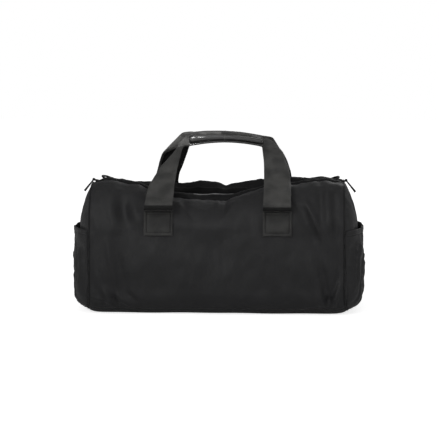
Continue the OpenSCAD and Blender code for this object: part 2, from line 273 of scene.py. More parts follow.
class Nodes:
    """Short names for building a material's nodes."""

    def __init__(self, name, color, roughness, **sockets):
        self.material = bpy.data.materials.new(name)
        self.material.use_nodes = True
        self.tree = self.material.node_tree
        self.shader = self.tree.nodes["Principled BSDF"]
        self.shader.inputs["Base Color"].default_value = (*color, 1)
        self.shader.inputs["Roughness"].default_value = roughness
        for key, value in sockets.items():
            self.shader.inputs[key.replace("_", " ")].default_value = value

    def new(self, kind, **settings):
        node = self.tree.nodes.new(kind)
        for key, value in settings.items():
            setattr(node, key, value)
        return node

    def link(self, source, target):
        self.tree.links.new(source, target)

    def math(self, operation, a, b=None, c=None):
        node = self.new("ShaderNodeMath", operation=operation)
        for socket, value in zip(node.inputs, (a, b, c)):
            if value is None:
                continue
            if isinstance(value, (int, float)):
                socket.default_value = value
            else:
                self.link(value, socket)
        return node.outputs[0]

    def cloth(self):
        node = self.new("ShaderNodeAttribute", attribute_name="cloth")
        split = self.new("ShaderNodeSeparateXYZ")
        self.link(node.outputs["Vector"], split.inputs[0])
        return split.outputs[0], split.outputs[1]

    def place(self):
        return self.new("ShaderNodeTexCoord").outputs["Object"]

    def noise(self, scale, detail=4.0, roughness=0.55, stretch=None):
        vector = self.place()
        if stretch:
            mapping = self.new("ShaderNodeMapping")
            mapping.inputs["Scale"].default_value = stretch
            self.link(vector, mapping.inputs["Vector"])
            vector = mapping.outputs[0]
        node = self.new("ShaderNodeTexNoise")
        node.inputs["Scale"].default_value = scale
        node.inputs["Detail"].default_value = detail
        node.inputs["Roughness"].default_value = roughness
        self.link(vector, node.inputs["Vector"])
        return node.outputs["Fac"]

    def remap(self, value, low, high):
        node = self.new("ShaderNodeMapRange")
        node.inputs["From Min"].default_value, node.inputs["From Max"].default_value = 0.25, 0.75
        node.inputs["To Min"].default_value, node.inputs["To Max"].default_value = low, high
        self.link(value, node.inputs["Value"])
        return node.outputs[0]

    def mix_color(self, factor, first, second):
        node = self.new("ShaderNodeMix", data_type="RGBA")
        node.inputs[6].default_value = (*first, 1)
        node.inputs[7].default_value = (*second, 1)
        self.link(factor, node.inputs[0])
        self.link(node.outputs[2], self.shader.inputs["Base Color"])

    def roughness(self, value):
        self.link(value, self.shader.inputs["Roughness"])

    def bump(self, *layers):
        """layers are (height, distance in metres, strength)."""
        previous = None
        for height, distance, strength in layers:
            node = self.new("ShaderNodeBump")
            node.inputs["Distance"].default_value = distance
            node.inputs["Strength"].default_value = strength
            self.link(height, node.inputs["Height"])
            if previous:
                self.link(previous, node.inputs["Normal"])
            previous = node.outputs[0]
        self.link(previous, self.shader.inputs["Normal"])


def woven(name, color, pitch, roughness, crinkle, sheen, specular):
    """Plain woven cloth: crossed threads, a fine crinkle and a slightly uneven dye."""
    n = Nodes(name, color, roughness, Sheen_Weight=sheen, Sheen_Roughness=0.45, Specular_IOR_Level=specular)
    u, v = n.cloth()
    warp = n.math("SINE", n.math("MULTIPLY", u, 2 * math.pi / pitch))
    weft = n.math("SINE", n.math("MULTIPLY", v, 2 * math.pi / pitch))
    weave = n.math("MULTIPLY_ADD", n.math("MULTIPLY", warp, weft), 0.5, 0.5)
    tint = n.noise(14.0, 3.0)
    n.mix_color(tint, tuple(c * 0.86 for c in color), tuple(c * 1.16 for c in color))
    n.roughness(n.remap(n.noise(55.0, 5.0), roughness - 0.06, roughness + 0.08))
    n.bump((n.noise(38.0, 6.0, 0.6), 1.2 * MM, crinkle), (weave, 0.12 * MM, 0.6))
    return n.material


def ribbed(name, color, roughness, sheen=0.08, rib=1.5 * MM, channel=0.9 * MM):
    """Heavy webbing: fine ribs across its width, and the warp's narrow channels along it."""
    n = Nodes(name, color, roughness, Sheen_Weight=sheen, Sheen_Roughness=0.5, Specular_IOR_Level=0.45)
    u, v = n.cloth()
    chevron = n.math("PINGPONG", n.math("ADD", u, 0.5), 3.1 * MM)
    slant = n.math("MULTIPLY_ADD", chevron, 0.9, v)
    rows = n.math("SINE", n.math("MULTIPLY", slant, 2 * math.pi / rib))
    channels = n.math("SINE", n.math("MULTIPLY", u, 2 * math.pi / channel))
    height = n.math("MULTIPLY_ADD", rows, 0.6, n.math("MULTIPLY", channels, 0.4))
    # Large lighter and darker patches: painted sheen streaks, partly uneven wear. The ribs' colour also
    # follows their height, a little painted shade in the grooves.
    wear_and_sheen = n.math("MULTIPLY_ADD", n.noise(40.0, 3.0), 4.0, -1.5)
    speckle = n.math("MULTIPLY_ADD", n.noise(150.0, 4.0), 0.3, n.math("MULTIPLY", wear_and_sheen, 0.75))
    tone = n.math("MULTIPLY_ADD", rows, 0.1, speckle)
    n.mix_color(tone, tuple(c * 0.35 for c in color), tuple(c * 1.5 for c in color))
    n.roughness(n.remap(n.noise(160.0, 3.0), roughness - 0.07, roughness + 0.1))
    n.bump((n.noise(70.0, 4.0), 0.5 * MM, 0.35), (height, 0.22 * MM, 0.8))
    return n.material


def grained_leather():
    color = (0.012, 0.0118, 0.0115)
    n = Nodes("leather", color, 0.38, Specular_IOR_Level=0.6, Coat_Weight=0.8, Coat_Roughness=0.16)
    grain = n.new("ShaderNodeTexVoronoi", feature="DISTANCE_TO_EDGE")
    grain.inputs["Scale"].default_value = 900.0
    n.link(n.place(), grain.inputs["Vector"])
    pebble = n.math("MINIMUM", grain.outputs["Distance"], 0.16)
    n.mix_color(n.noise(60.0, 4.0), tuple(c * 0.8 for c in color), tuple(c * 1.5 for c in color))
    n.roughness(n.remap(n.noise(120.0, 4.0), 0.3, 0.48))
    n.bump((n.noise(90.0, 5.0), 0.6 * MM, 0.4), (pebble, 0.5 * MM, 0.35))
    return n.material


def plated_metal():
    n = Nodes("black_metal", (0.015, 0.015, 0.0155), 0.3, Metallic=0.7, Specular_IOR_Level=0.4)
    scuffs = n.noise(420.0, 4.0, 0.6, (1.0, 1.0, 4.0))
    n.mix_color(scuffs, (0.009, 0.009, 0.0095), (0.035, 0.035, 0.036))
    n.roughness(n.remap(scuffs, 0.2, 0.42))
    n.bump((n.noise(700.0, 3.0), 0.08 * MM, 0.3))
    return n.material


def moulded_plastic(name, color, roughness):
    n = Nodes(name, color, roughness)
    n.mix_color(n.noise(300.0, 3.0), tuple(c * 0.8 for c in color), tuple(c * 1.3 for c in color))
    n.roughness(n.remap(n.noise(500.0, 3.0), roughness - 0.08, roughness + 0.08))
    n.bump((n.noise(900.0, 2.0), 0.06 * MM, 0.3))
    return n.material


def twisted_thread(name, color):
    n = Nodes(name, color, 0.6, Sheen_Weight=0.02, Specular_IOR_Level=0.15)
    n.mix_color(n.noise(800.0, 2.0), tuple(c * 0.7 for c in color), tuple(c * 1.4 for c in color))
    n.bump((n.noise(1500.0, 2.0), 0.1 * MM, 0.5))
    return n.material


# Woven: colour, thread pitch, roughness, crinkle, sheen, specular. Ribbed: colour, roughness, sheen.
NYLON = woven("nylon", (0.0138, 0.0138, 0.0145), 0.75 * MM, 0.5, 0.45, 0.03, 0.22)
# A darker copy of the nylon for both gussets: painted shade in the open mouth.
GUSSET = woven("gusset_nylon", (0.0045, 0.0045, 0.0048), 0.75 * MM, 0.55, 0.45, 0.01, 0.15)
# A much lighter copy of the nylon for the top row of the front gusset: painted highlight.
CREST = woven("crest_nylon", (0.15, 0.15, 0.152), 0.75 * MM, 0.4, 0.3, 0.05, 0.5)
PIPING = woven("piping_nylon", (0.013, 0.013, 0.0137), 0.6 * MM, 0.5, 0.2, 0.03, 0.2)
WEBBING = ribbed("webbing", (0.031, 0.0305, 0.0285), 0.45)
# Darker webbing where it is sewn down flat on the bag: painted shade.
SEWN_WEBBING_PAINTED_SHADE = ribbed("sewn_webbing", (0.014, 0.0138, 0.0128), 0.5)
# Much lighter, glossier webbing for the turned top of the left legs: painted highlight.
WEBBING_PAINTED_HIGHLIGHT = ribbed("bent_webbing", (0.13, 0.129, 0.124), 0.34)
# Near-black webbing for the straps' inner side and the band under the crease: painted shade and painted
# shadow.
WEBBING_PAINTED_SHADE = ribbed("webbing_back", (0.0025, 0.0025, 0.0025), 0.8, 0.0)
# Black tape, darker than the nylon so the open mouth reads dark: partly the tape's own colour, partly
# painted shade.
TAPE = woven("zipper_tape", (0.0025, 0.0025, 0.0026), 0.6 * MM, 0.75, 0.15, 0.02, 0.12)
LINING = woven("lining", (0.005, 0.005, 0.0052), 0.5 * MM, 0.7, 0.5, 0.02, 0.15)
LEATHER = grained_leather()
METAL = plated_metal()
COIL = moulded_plastic("zipper_coil", (0.02, 0.02, 0.021), 0.35)
BOARD = moulded_plastic("board", (0.03, 0.03, 0.03), 0.5)
THREAD = twisted_thread("thread", (0.003, 0.003, 0.0032))
GREY_THREAD = twisted_thread("webbing_thread", (0.13, 0.128, 0.12))


# ---------------------------------------------------------------- the soft body as one grid

# Heights of the two top seams along the bag, in millimetres. The open front droops in the middle.
FRONT_RIM = [(-224, 229), (-206, 233), (-185, 233.5), (-162, 229), (-137, 225), (-120, 218), (-100, 210),
             (-69, 204), (-40, 200.5), (14, 200), (40, 208), (67, 216), (83, 222), (110, 227), (140, 230),
             (190, 233.5), (208, 233), (224, 229)]
REAR_RIM = [(-224, 227), (-190, 229), (-140, 223), (-66, 223), (0, 221), (10, 218), (20, 221),
            (79, 229.5), (130, 232.5), (190, 232), (224, 227)]
# How far the gussets arch above their seams, and the stretch of the front one whose top row is painted
# lighter, a painted highlight.
FRONT_CREST = 12 * MM
REAR_CREST = 1 * MM
CREST_HIGHLIGHT_SPAN = (-45 * MM, 72 * MM)
# The gussets start this far above the zipper line, and lose their arch between these places along the bag.
GUSSET_LIFT = 2.2 * MM
ARCH_FADE = (196 * MM, 222 * MM)
# The end seams draw the walls in, and each wall stands out halfway up.
END_PULL = 3.5 * MM
END_FALL = 14 * MM
WALL_SWELL = 5 * MM
# The base's corners are lifted off the floor and its edge is a little uneven.
CORNER_LIFT = 6 * MM
BASE_WAVE = 0.5 * MM
# Gain of the placed folds, then sizes of the broad, middle and fine wrinkles and of the seams' pucker.
FOLD_GAIN = 1.7
BROAD, MIDDLE, FINE, PUCKER = 2.2 * MM, 1.2 * MM, 0.7 * MM, 0.9 * MM

# Soft folds of the front (-1) and rear (1) wall: both ends as (x, z), half width, height, in millimetres.
FOLDS = {
    -1: [
        ((-168, 204), (-158, 166), 12, -5.5), ((-187, 196), (-176, 150), 9, 1.8),
        ((-143, 186), (-134, 160), 8, 1.2), ((-189, 116), (-173, 40), 4.0, 2.4),
        ((-176, 118), (-160, 45), 8, -2.4), ((-196, 44), (-180, 16), 4, 3.0),
        ((-186, 36), (-172, 12), 4, -2.8), ((-170, 34), (-150, 14), 4, 2.6),
        ((-158, 40), (-136, 22), 5, -2.2), ((-210, 70), (-192, 20), 5, 2.6),
        ((-202, 50), (-196, 14), 4, -2.6), ((-214, 30), (-190, 24), 3.5, 2.4),
        ((136, 202), (160, 194), 5, 2.0), ((212, 150), (215, 60), 5, -1.6),
        ((160, 194), (187, 138), 4.5, 3.4), ((148, 186), (172, 132), 9, -3.2),
        ((181, 222), (183, 160), 5.5, -2.2), ((194, 220), (197, 150), 5, 1.8),
        ((207, 216), (208, 140), 5, -2.2), ((181, 95), (200, 6), 7.5, -3.8),
        ((169, 100), (186, 10), 9, 2.4), ((219, 66), (203, 10), 4.5, 3.4),
        ((150, 40), (168, 10), 8, 1.8), ((96, 70), (132, 30), 12, 1.6),
        ((-110, 120), (-92, 60), 12, 1.6), ((60, 180), (64, 150), 8, -1.4),
        ((210, 60), (196, 22), 4.5, -2.4), ((-30, 120), (60, 92), 26, -2.2),
        ((-70, 60), (40, 40), 20, 1.8), ((70, 150), (120, 60), 18, 1.6),
        ((-60, 198), (-44, 176), 4, -1.6), ((16, 199), (12, 182), 3.5, -2.2),
        ((0, 198), (2, 186), 3.5, 1.2), ((30, 198), (24, 184), 3.5, 1.2),
    ],
    1: [
        ((-150, 190), (-120, 110), 12, -4.0), ((-168, 180), (-142, 100), 7, 2.6),
        ((150, 150), (186, 40), 10, -4.0), ((164, 160), (200, 50), 7, 3.0),
        ((-60, 110), (50, 84), 24, -3.0), ((20, 180), (60, 120), 14, -2.0),
        ((-195, 100), (-178, 20), 6, 3.0), ((205, 200), (200, 140), 6, -2.4),
    ],
}

# Stations along the bag, and steps of the half section from the zipper to the middle of the base.
STATIONS = 141
GUSSET_STEPS, SHOULDER_STEPS, WALL_STEPS, CORNER_STEPS, BASE_STEPS = 10, 28, 30, 20, 20
HALF_ROWS = GUSSET_STEPS + SHOULDER_STEPS + WALL_STEPS + CORNER_STEPS + BASE_STEPS
RIM_ROW = GUSSET_STEPS
SEAM_ROW = GUSSET_STEPS + SHOULDER_STEPS + WALL_STEPS + 11  # the base seam, halfway round the corner


def half_section(x, rim, crest):
    """Section from the zipper's edge to the middle of the base: rows of (distance outwards, height)."""
    wall = WALL_Y - END_PULL * np.exp(-(HALF_LENGTH - np.abs(x)) / END_FALL)
    swell = WALL_SWELL * (1 - np.abs(x / HALF_LENGTH) ** 6)
    arch = crest * (1 - smoothstep(*ARCH_FADE, np.abs(x)))
    rows = []
    low = zip_height(x) + GUSSET_LIFT
    if crest == FRONT_CREST:
        bend_y, bend_z = 0.66 * RIM_Y, np.maximum(rim, low) + arch
    else:
        bend_y, bend_z = 0.78 * RIM_Y, 0.55 * low + 0.45 * rim + arch
    for t in np.linspace(0, 1, GUSSET_STEPS + 1)[:-1]:
        y = (1 - t) ** 2 * TAPE_EDGE_Y + 2 * t * (1 - t) * bend_y + t**2 * RIM_Y
        z = (1 - t) ** 2 * low + 2 * t * (1 - t) * bend_z + t**2 * rim
        rows.append((y + 0 * x, z))
    for angle in np.linspace(0, math.pi / 2, SHOULDER_STEPS + 1)[:-1]:
        rows.append((RIM_Y + (wall - RIM_Y) * math.sin(angle),
                     SHOULDER_Z + (rim - SHOULDER_Z) * math.cos(angle)))
    for t in np.linspace(0, 1, WALL_STEPS + 1)[:-1]:
        rows.append((wall + swell * math.sin(math.pi * t) ** 1.5,
                     SHOULDER_Z + (BASE_RADIUS - SHOULDER_Z) * t + 0 * x))
    for angle in np.linspace(0, math.pi / 2, CORNER_STEPS + 1)[:-1]:
        rows.append((wall - BASE_RADIUS + BASE_RADIUS * math.cos(angle),
                     BASE_RADIUS - BASE_RADIUS * math.sin(angle) + 0 * x))
    for t in np.linspace(0, 1, BASE_STEPS + 1)[:-1]:
        rows.append(((wall - BASE_RADIUS) * (1 - t), 0 * x))
    return np.array(rows)


def fold_height(side, x, z):
    """Height of the listed folds at a place on the front (-1) or rear (1) wall."""
    total = np.zeros_like(x)
    for start, finish, width, height in FOLDS[side]:
        distance, t = line_distance(x / MM, z / MM, start, finish, -0.25, 1.25)
        fade = 1 - np.clip(np.abs(t - 0.5) - 0.25, 0, 0.5) * 1.6
        total += height * MM * fade * np.exp(-(distance / width) ** 2)
    return total


def noise_field(points, scale, octaves=3, seed=0.0):
    """Fractal noise at each point, about -1 to 1."""
    out = np.zeros(len(points))
    for k, p in enumerate(points):
        v = Vector((p[0] * scale + seed, p[1] * scale - seed, p[2] * scale + 0.5 * seed))
        out[k] = noise.fractal(v, 0.75, 2.1, octaves)
    return out


def build_body():
    """The whole tube from the front zipper edge, under the base, to the rear zipper edge."""
    x = np.linspace(-HALF_LENGTH, HALF_LENGTH, STATIONS)
    rim_front = smooth_curve(FRONT_RIM, x / MM) * MM
    rim_rear = smooth_curve(REAR_RIM, x / MM) * MM
    front = half_section(x, rim_front, FRONT_CREST)
    rear = half_section(x, rim_rear, REAR_CREST)
    grid = np.zeros((2 * HALF_ROWS + 1, STATIONS, 3))
    grid[..., 0] = x
    grid[:HALF_ROWS, :, 1], grid[:HALF_ROWS, :, 2] = -front[:, 0], front[:, 1]
    grid[HALF_ROWS + 1:, :, 1], grid[HALF_ROWS + 1:, :, 2] = rear[::-1, 0], rear[::-1, 1]
    depth = 1 - (grid[..., 1] / WALL_Y) ** 2
    swell = np.clip(depth, 0, 1) * (1 - smoothstep(30 * MM, 120 * MM, grid[..., 2]))
    grid[..., 0] *= 1 + 0.05 * swell * np.abs(grid[..., 0]) / HALF_LENGTH

    low_down = 1 - smoothstep(0, 34 * MM, grid[..., 2])
    grid[..., 2] += CORNER_LIFT * low_down * np.exp(-(HALF_LENGTH - np.abs(x)) / (7 * MM))
    grid[..., 2] += BASE_WAVE * low_down * np.sin(x / (23 * MM) + 0.6) * np.sin(x / (61 * MM))

    outward = -grid_normals(grid)
    rows = np.arange(2 * HALF_ROWS + 1)
    from_rim = np.minimum(np.abs(rows - RIM_ROW), np.abs(rows - (2 * HALF_ROWS - RIM_ROW)))
    off_base = smoothstep(10 * MM, 26 * MM, grid[..., 2])
    front_folds, rear_folds = (fold_height(side, grid[..., 0], grid[..., 2]) for side in (-1, 1))
    folds = np.where(grid[..., 1] < 0, front_folds, rear_folds)
    flat = grid.reshape(-1, 3)
    broad = noise_field(flat, 16.0, 2, 3.7).reshape(folds.shape)
    middle = noise_field(flat * (1.0, 1.0, 0.7), 31.0, 2, 5.3).reshape(folds.shape)
    fine = noise_field(flat * (1.0, 1.0, 0.45), 62.0, 3, 9.1).reshape(folds.shape)
    ends = np.exp(-(HALF_LENGTH - np.abs(grid[..., 0])) / (16 * MM))
    seams = np.maximum(np.exp(-from_rim / 4.0)[:, None], ends)
    near_zip = np.minimum(rows, rows[::-1])
    hold = smoothstep(0, 6, near_zip)[:, None]
    height = FOLD_GAIN * folds + BROAD * broad + MIDDLE * middle + (FINE + PUCKER * seams) * fine
    height *= off_base * hold
    return grid + outward * height[..., None]


BODY = build_body()
ROWS = len(BODY)
BODY_NORMALS = -grid_normals(BODY)
SKIN = BVHTree.FromPolygons([tuple(p) for p in BODY.reshape(-1, 3)], grid_faces(ROWS, STATIONS).tolist())


CLOTH = 1.5 * MM
SEAM_DEPTH = 0.7 * MM


def rolled(grid, normals, edges):
    """Turns the named edges of a panel in, as cloth turns into a seam."""
    out = grid.copy()
    for edge in edges:
        turn = SEAM_DEPTH if edge in ("first", "last") else 0.3 * SEAM_DEPTH
        index = {"first": np.s_[0], "last": np.s_[-1], "left": np.s_[:, 0], "right": np.s_[:, -1]}[edge]
        out[index] -= normals[index] * turn
    return out


def panel(name, node, first, last, material=NYLON):
    """One body panel between two rows of the grid."""
    rows = slice(first, last + 1)
    points, normals = BODY[rows], BODY_NORMALS[rows]
    edges = ["first"] * (first > 0) + ["last"] * (last < ROWS - 1) + ["left", "right"]
    shaped = rolled(points, normals, edges)
    cloth = np.stack([points[..., 0], arc_lengths(BODY)[rows]], -1).reshape(-1, 2)
    piece = make_sheet(name, shaped, cloth, flip=True)
    return finish_piece(piece, "bag", material, (node,), thickness=CLOTH)


def paint_crest_highlight(gusset):
    """Paints the row of faces along the top of the front gusset lighter where the mouth is open, a painted
    highlight.
    """
    x = BODY[0, :-1, 0]
    open_part = (x > CREST_HIGHLIGHT_SPAN[0]) & (x < CREST_HIGHLIGHT_SPAN[1])
    top_row = int(np.median(np.argmax(BODY[:RIM_ROW, :-1, 2], axis=0)[open_part]))
    # These faces take the lighter cloth, a painted highlight.
    lit = (np.arange(RIM_ROW)[:, None] == top_row) & open_part
    gusset.data.materials.append(CREST)
    gusset.data.polygons.foreach_set("material_index", lit.astype(np.int32).ravel())


# Both gussets are drawn in the darker nylon, painted shade in the open mouth.
paint_crest_highlight(panel("front_gusset_cloth", "front_top_gusset", 0, RIM_ROW, GUSSET))
panel("front_panel_cloth", "front_panel", RIM_ROW, SEAM_ROW)
panel("base_cloth", "base_panel", SEAM_ROW, ROWS - 1 - SEAM_ROW)
panel("rear_panel_cloth", "rear_panel", ROWS - 1 - SEAM_ROW, ROWS - 1 - RIM_ROW)
panel("rear_gusset_cloth", "rear_top_gusset", ROWS - 1 - RIM_ROW, ROWS - 1, GUSSET)


# ---------------------------------------------------------------- ends, with their pockets

END_CENTRE_Z = 104 * MM
END_SWELL = 26 * MM
NOTCH_HALF = 4.3 * MM
NOTCH_DEPTH = 25 * MM
SEAM_TURN = 0.3 * MM
PIPING_RADIUS = 0.85 * MM
LINING_CLOTH = 0.7 * MM
POCKET_LOW, POCKET_EDGE, HEM_TOP = 9 * MM, 143 * MM, 151 * MM
POCKET_ROWS, POCKET_COLUMNS, HEM_ROWS = 44, 60, 6
# The pocket's reach from the bag's middle along its middle line: (height, reach) in millimetres.
POCKET_REACH = [(9, 241), (15, 249), (26, 256), (60, 259.5), (100, 260), (152, 258)]
# Folds of the pocket's cloth: both ends as (y, z), half width and height, in millimetres.
POCKET_FOLDS = [
    ((-105, 22), (-84, 112), 2.6, 4.0), ((-92, 14), (-66, 66), 2.6, 3.4), ((-100, 18), (-62, 120), 5, 3.2),
    ((-84, 18), (-40, 100), 5, 3.6), ((-66, 16), (-12, 84), 6, 3.0), ((-108, 60), (-96, 118), 5, -2.4),
    ((96, 34), (58, 110), 6, 3.0), ((70, 34), (20, 84), 6, 2.0),
    ((-20, 142), (-14, 108), 7, -2.4), ((34, 142), (26, 100), 7, -2.0),
]


class End:
    """One end of the bag. sign is -1 for the left end and 1 for the right."""

    def __init__(self, sign):
        self.sign, self.name = sign, HAND_NAME[sign]
        column = BODY[:, 0 if sign < 0 else -1]
        top = zip_height(np.array(HALF_LENGTH)) - 5.5 * MM
        across = np.linspace(NOTCH_HALF, TAPE_EDGE_Y - 2 * MM, 3)
        lip = np.array([(sign * HALF_LENGTH, y, top) for y in across])
        self.loop = np.concatenate([lip * (1, -1, 1), column, lip[::-1]])
        self.centre = np.array([0.0, END_CENTRE_Z])
        spokes = self.loop[:, 1:] - self.centre
        angle = np.arctan2(spokes[:, 0], -spokes[:, 1])
        order = np.argsort(angle)
        self.angles, self.radii = angle[order], np.linalg.norm(spokes, axis=1)[order]
        self.reach = np.abs(self.loop[order, 0])

    def swell(self, near, z):
        """How far the end stands out, by the share of the way to the seam. It is fullest near the base."""
        power = 3 + 6 * smoothstep(END_CENTRE_Z, 25 * MM, z)
        return END_SWELL * (1 - np.clip(near, 0, 1) ** power)

    def dome(self, y, z):
        """Distance of the end's surface from the bag's middle, and how near the point is to the seam."""
        spoke = np.hypot(y, z - END_CENTRE_Z)
        angle = np.arctan2(y, -(z - END_CENTRE_Z))
        near = spoke / np.interp(angle, self.angles, self.radii)
        reach = np.interp(angle, self.angles, self.reach)
        return HALF_LENGTH + (reach - HALF_LENGTH) * near + self.swell(near, z), near

    def half_width(self, z):
        """Half width of the end at a height."""
        y = np.linspace(60 * MM, 125 * MM, 200)
        return np.array([np.interp(1.0, self.dome(y, h)[1], y) for h in np.atleast_1d(z)])

    def disc(self, outer, inset, rings):
        """Rings of points from the seam to the middle of the end, and the faces between them."""
        near = outer * (1 - (np.arange(rings) / (rings - 1)) ** 1.1 * 0.97)
        columns = len(self.loop)
        grid = np.zeros((rings, columns, 3))
        grid[..., 1:] = self.centre + near[:, None, None] * (self.loop[:, 1:] - self.centre)
        distance = HALF_LENGTH + (np.abs(self.loop[:, 0]) - HALF_LENGTH) * near[:, None]
        grid[..., 0] = self.sign * (distance + self.swell(near[:, None], grid[..., 2]) - inset)
        faces = list(grid_faces(rings, columns, flip=self.sign < 0))
        for k in range(rings - 1):
            if (1 - near[k]) * (self.loop[0, 2] - END_CENTRE_Z) > NOTCH_DEPTH:
                start, below = k * columns, (k + 1) * columns
                quad = [start + columns - 1, start, below, below + columns - 1]
                faces.append(quad[::-1] if self.sign < 0 else quad)
        hub = [(rings - 1) * columns + j for j in range(columns)]
        faces.append(hub if self.sign > 0 else hub[::-1])
        return grid, faces, near[:, None]

    def panel(self):
        grid, faces, near = self.disc(1.0, 0.0, 30)
        crumple = noise_field(grid.reshape(-1, 3) * (1, 1, 0.6), 42.0, 3, 5.0 + self.sign)
        fade = np.sin(np.clip(near, 0, 1) * math.pi)
        grid[..., 0] += self.sign * 2.2 * MM * crumple.reshape(grid.shape[:2]) * fade
        grid[0, :, 0] -= self.sign * SEAM_TURN
        points = grid.reshape(-1, 3)
        piece = make_mesh(self.name + "_end_cloth", points, faces, points[:, 1:])
        finish_piece(piece, "bag", NYLON, (self.name + "_end_panel",), thickness=CLOTH)

    def lining(self):
        grid, faces, _ = self.disc(0.95, 4 * MM, 12)
        points = grid.reshape(-1, 3)
        piece = make_mesh(self.name + "_end_lining_cloth", points, faces, points[:, 1:])
        finish_piece(piece, "bag", LINING, (self.name + "_end_lining",), thickness=LINING_CLOTH)

    def piping(self):
        path = self.loop[3:-3].copy()
        path[:, 0] += self.sign * 0.4 * MM
        piece = tube(self.name + "_piping_cord", path, PIPING_RADIUS, sides=8)
        finish_piece(piece, "bag", PIPING, (self.name + "_end_piping",))

    def pocket_surface(self, bottom, top, rows, lift=0.0):
        """Grid of the pocket's cloth, standing away from the end and lifted a little more for the hem."""
        t = np.linspace(-1, 1, POCKET_COLUMNS)
        z = np.repeat(np.linspace(bottom, top, rows)[:, None], POCKET_COLUMNS, axis=1)
        y = 0.985 * self.half_width(z[:, 0])[:, None] * t
        fullest = smooth_curve(POCKET_REACH, z / MM) * MM - self.dome(np.zeros_like(z), z)[0]
        slack = 1.0 * MM + (1 - t**2) ** 0.8 * np.maximum(fullest, 1.0 * MM)
        return np.stack([self.sign * (self.dome(y, z)[0] + slack + lift), y, z], -1)

    def pocket(self):
        grid = self.pocket_surface(POCKET_LOW, POCKET_EDGE, POCKET_ROWS)
        folds = self.pocket_folds(grid)
        grid[..., 0] += self.sign * folds
        piece = make_sheet(self.name + "_pocket_cloth", grid, grid[..., 1:].reshape(-1, 2), self.sign < 0)
        finish_piece(piece, "bag", NYLON, (self.name + "_pocket_panel",), thickness=1.4 * MM)
        band = self.pocket_surface(POCKET_EDGE - 1 * MM, HEM_TOP, HEM_ROWS, 0.7 * MM)
        band[..., 0] += self.sign * folds[-1]
        hem = make_sheet(self.name + "_hem_cloth", band, band[..., 1:].reshape(-1, 2), self.sign < 0)
        finish_piece(hem, "bag", NYLON, (self.name + "_pocket_hem",), 1, 2.6 * MM)

    def pocket_folds(self, grid):
        """Height of the pocket's folds and crumples at each point."""
        y, z = grid[..., 1], grid[..., 2]
        total = np.zeros_like(y)
        for start, finish, width, height in POCKET_FOLDS:
            distance, _ = line_distance(y / MM, z / MM, start, finish)
            total += height * MM * np.exp(-(distance / width) ** 2)
        crumple = noise_field(grid.reshape(-1, 3), 48.0, 3, 2.0 * self.sign).reshape(total.shape)
        edge = np.linspace(-1, 1, total.shape[1])
        return (total + 1.8 * MM * crumple) * (1 - edge**6)


for sign in (-1, 1):
    end = End(sign)
    end.panel()
    end.lining()
    end.piping()
    end.pocket()


# ---------------------------------------------------------------- lining

LINING_TOP = RIM_ROW + 3
WALL_INSET, BASE_INSET = 3.2 * MM, 5.4 * MM


def lining_sheet(node, first, last, inset):
    """Lining cloth inside the rows of the body from first to last."""
    rows = slice(first, last + 1)
    points = BODY[rows] - BODY_NORMALS[rows] * inset
    points[..., 0] *= 0.985
    piece = make_sheet(node + "_cloth", points, points.reshape(-1, 3)[:, [0, 2]], flip=True)
    finish_piece(piece, "bag", LINING, (node,), thickness=LINING_CLOTH)


lining_sheet("front_lining", LINING_TOP, SEAM_ROW, WALL_INSET)
lining_sheet("rear_lining", ROWS - 1 - SEAM_ROW, ROWS - 1 - LINING_TOP, WALL_INSET)
lining_sheet("base_lining", SEAM_ROW, ROWS - 1 - SEAM_ROW, BASE_INSET)


# ---------------------------------------------------------------- zipper

# How far each tape goes on under the gusset. The rear one reaches further, so its near-black cloth shows in
# the open mouth as painted shade.
TAPE_REACH = {-1: 18 * MM, 1: 29 * MM}
COIL_END = 2 * MM
COIL_PITCH = 1.75 * MM
COIL_INSET = 0.35 * MM


def zipper_tape(side):
    """Woven tape from the coil to below the gusset. side is -1 for the front and 1 for the rear."""
    x = np.linspace(-HALF_LENGTH + 1.5 * MM, HALF_LENGTH - 1.5 * MM, 120)
    y = np.linspace(COIL_Y - 1.4 * MM, COIL_Y + TAPE_REACH[side], 14)
    grid = np.zeros((len(y), len(x), 3))
    grid[..., 0] = x
    grid[..., 1] = side * y[:, None]
    grid[..., 2] = zip_height(x) + smoothstep(0, 14 * MM, y - COIL_Y)[:, None] * 0.7 * MM
    for row, depth in enumerate(y):
        if depth > TAPE_EDGE_Y + 1 * MM:
            for column, place in enumerate(x):
                hit = SKIN.ray_cast(Vector((place, side * depth, 0.4)), Vector((0, 0, -1)))[0]
                grid[row, column, 2] = max(grid[row, column, 2], hit[2] + 1.1 * MM)
    name = SIDE_NAME[side]
    piece = make_sheet(name + "_tape_cloth", grid, grid.reshape(-1, 3)[:, :2], flip=side < 0)
    finish_piece(piece, "bag", TAPE, (name + "_zipper_tape",), thickness=0.7 * MM, offset=0)


def zipper_coil(side):
    """Moulded coil: one thread wound along the tape's edge, with the flattened heads facing the slit."""
    half = HALF_LENGTH - COIL_END
    steps = 14
    t = np.arange(int(2 * half / COIL_PITCH) * steps) / steps
    x = -half + t * COIL_PITCH
    angle = 2 * math.pi * t
    wide = 0.5 * (COIL_Y - SLIT_Y) - COIL_INSET
    y = SLIT_Y + COIL_INSET + wide * (1 - signed_power(np.cos(angle), 0.7))
    z = zip_height(x) + 1.05 * MM * signed_power(np.sin(angle), 0.8)
    path = np.stack([x, side * y, z], -1)
    name = SIDE_NAME[side]
    piece = tube(name + "_coil_thread", path, 0.36 * MM, sides=5)
    finish_piece(piece, "bag", COIL, (name + "_zipper_coil",))
    core_x = np.linspace(-half, half, 90)
    core = np.stack([core_x, np.full(90, side * (SLIT_Y + COIL_INSET + wide)), zip_height(core_x)], -1)
    finish_piece(tube(name + "_coil_core", core, 0.8 * MM, sides=8), "bag", TAPE)


for side in (-1, 1):
    zipper_tape(side)
    zipper_coil(side)


# ---------------------------------------------------------------- hardware

